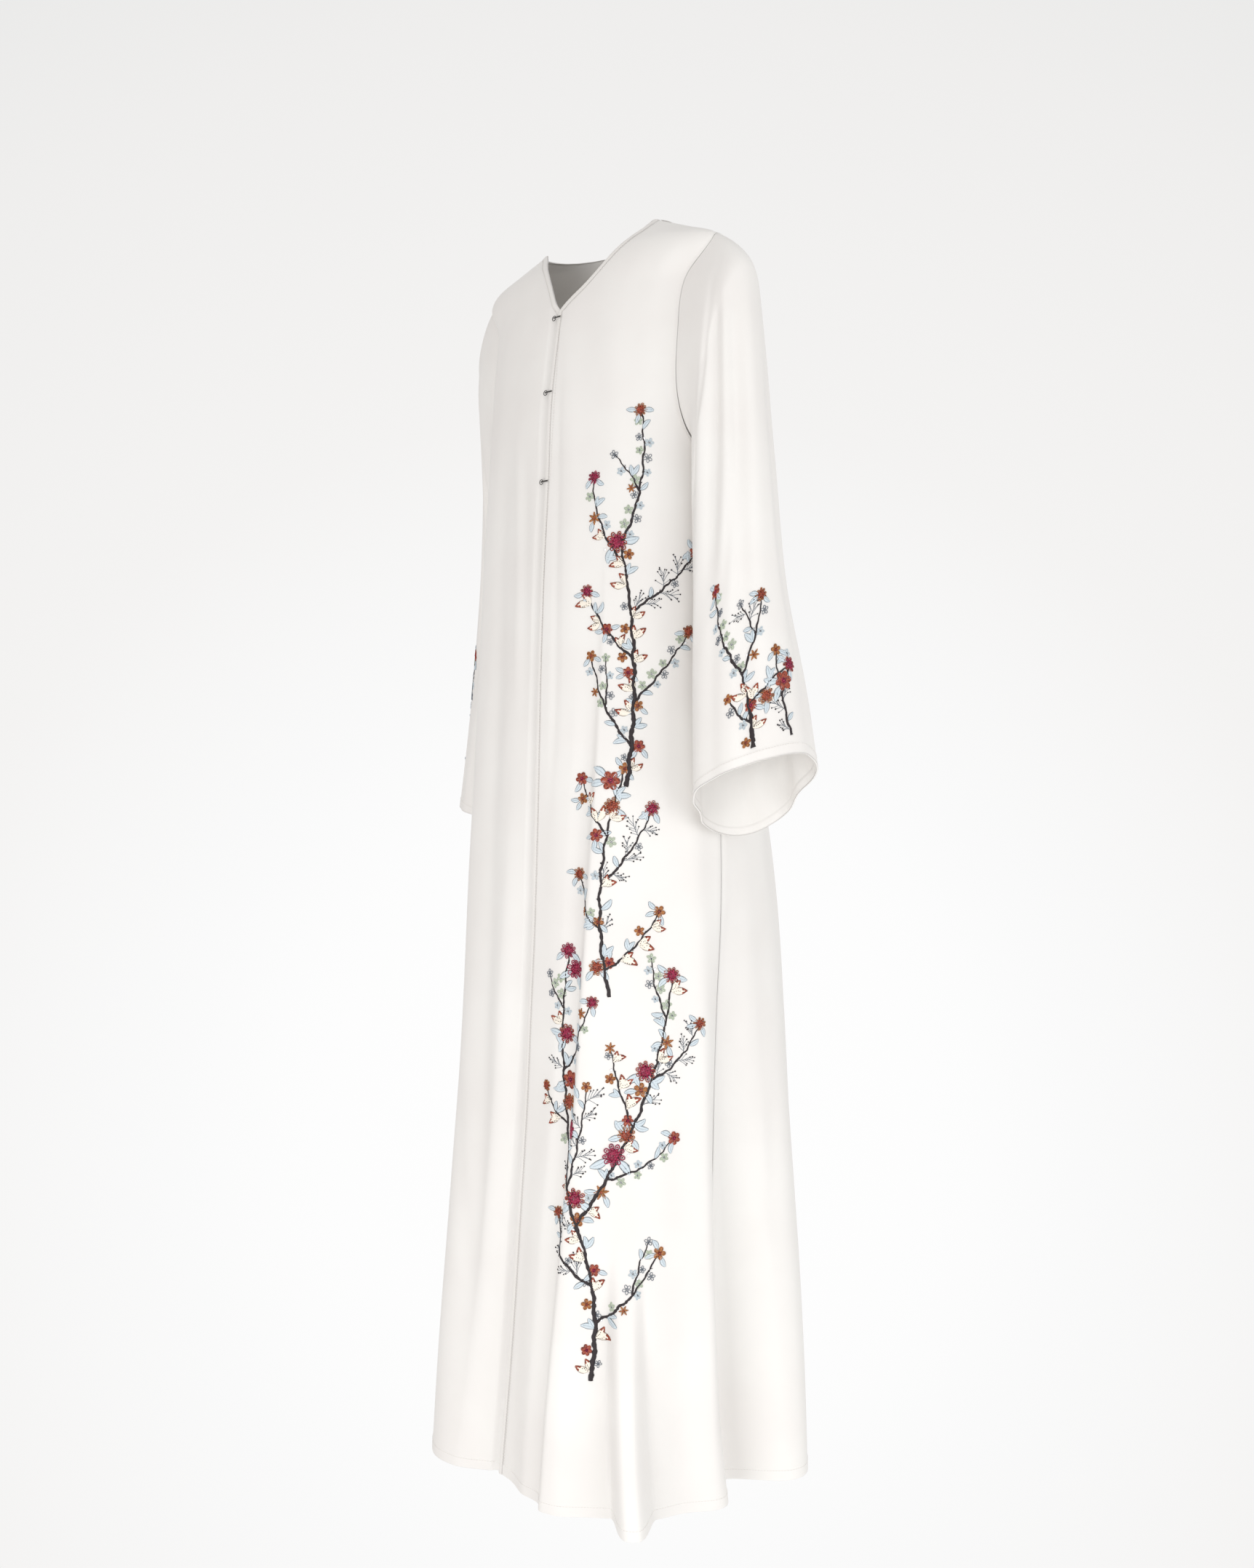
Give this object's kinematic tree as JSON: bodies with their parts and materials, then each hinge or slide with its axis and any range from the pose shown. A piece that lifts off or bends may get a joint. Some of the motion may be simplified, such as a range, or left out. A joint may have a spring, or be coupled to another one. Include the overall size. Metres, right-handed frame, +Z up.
{
  "type": "abaya",
  "caption": "Long open-front robe with a V neckline, narrow edge binding, hook-and-eye front and wide straight sleeves, in its hollow worn form.",
  "frame": {"origin": "on the shoulder line midway between the two shoulder tips, 48 mm above them and 10 mm above the side neck points, where the robe hangs from", "axes": "+Z up, front toward -Y, wearer's left toward +X"},
  "size_m": [0.628, 0.4314, 1.4754],
  "materials": {
    "crepe": "matt satin-backed crepe, warm off-white",
    "binding": "satin side of the same crepe",
    "closure_metal": "black lacquered wire"
  },
  "bodies": {
    "root": {"back": "crepe", "front_left": "crepe", "front_right": "crepe", "sleeve_left": "crepe", "sleeve_right": "crepe", "neckband": "binding", "band_left": "binding", "band_right": "binding", "hook_1": "closure_metal", "eye_1": "closure_metal", "hook_2": "closure_metal", "eye_2": "closure_metal", "hook_3": "closure_metal", "eye_3": "closure_metal"}
  },
  "joints": []
}
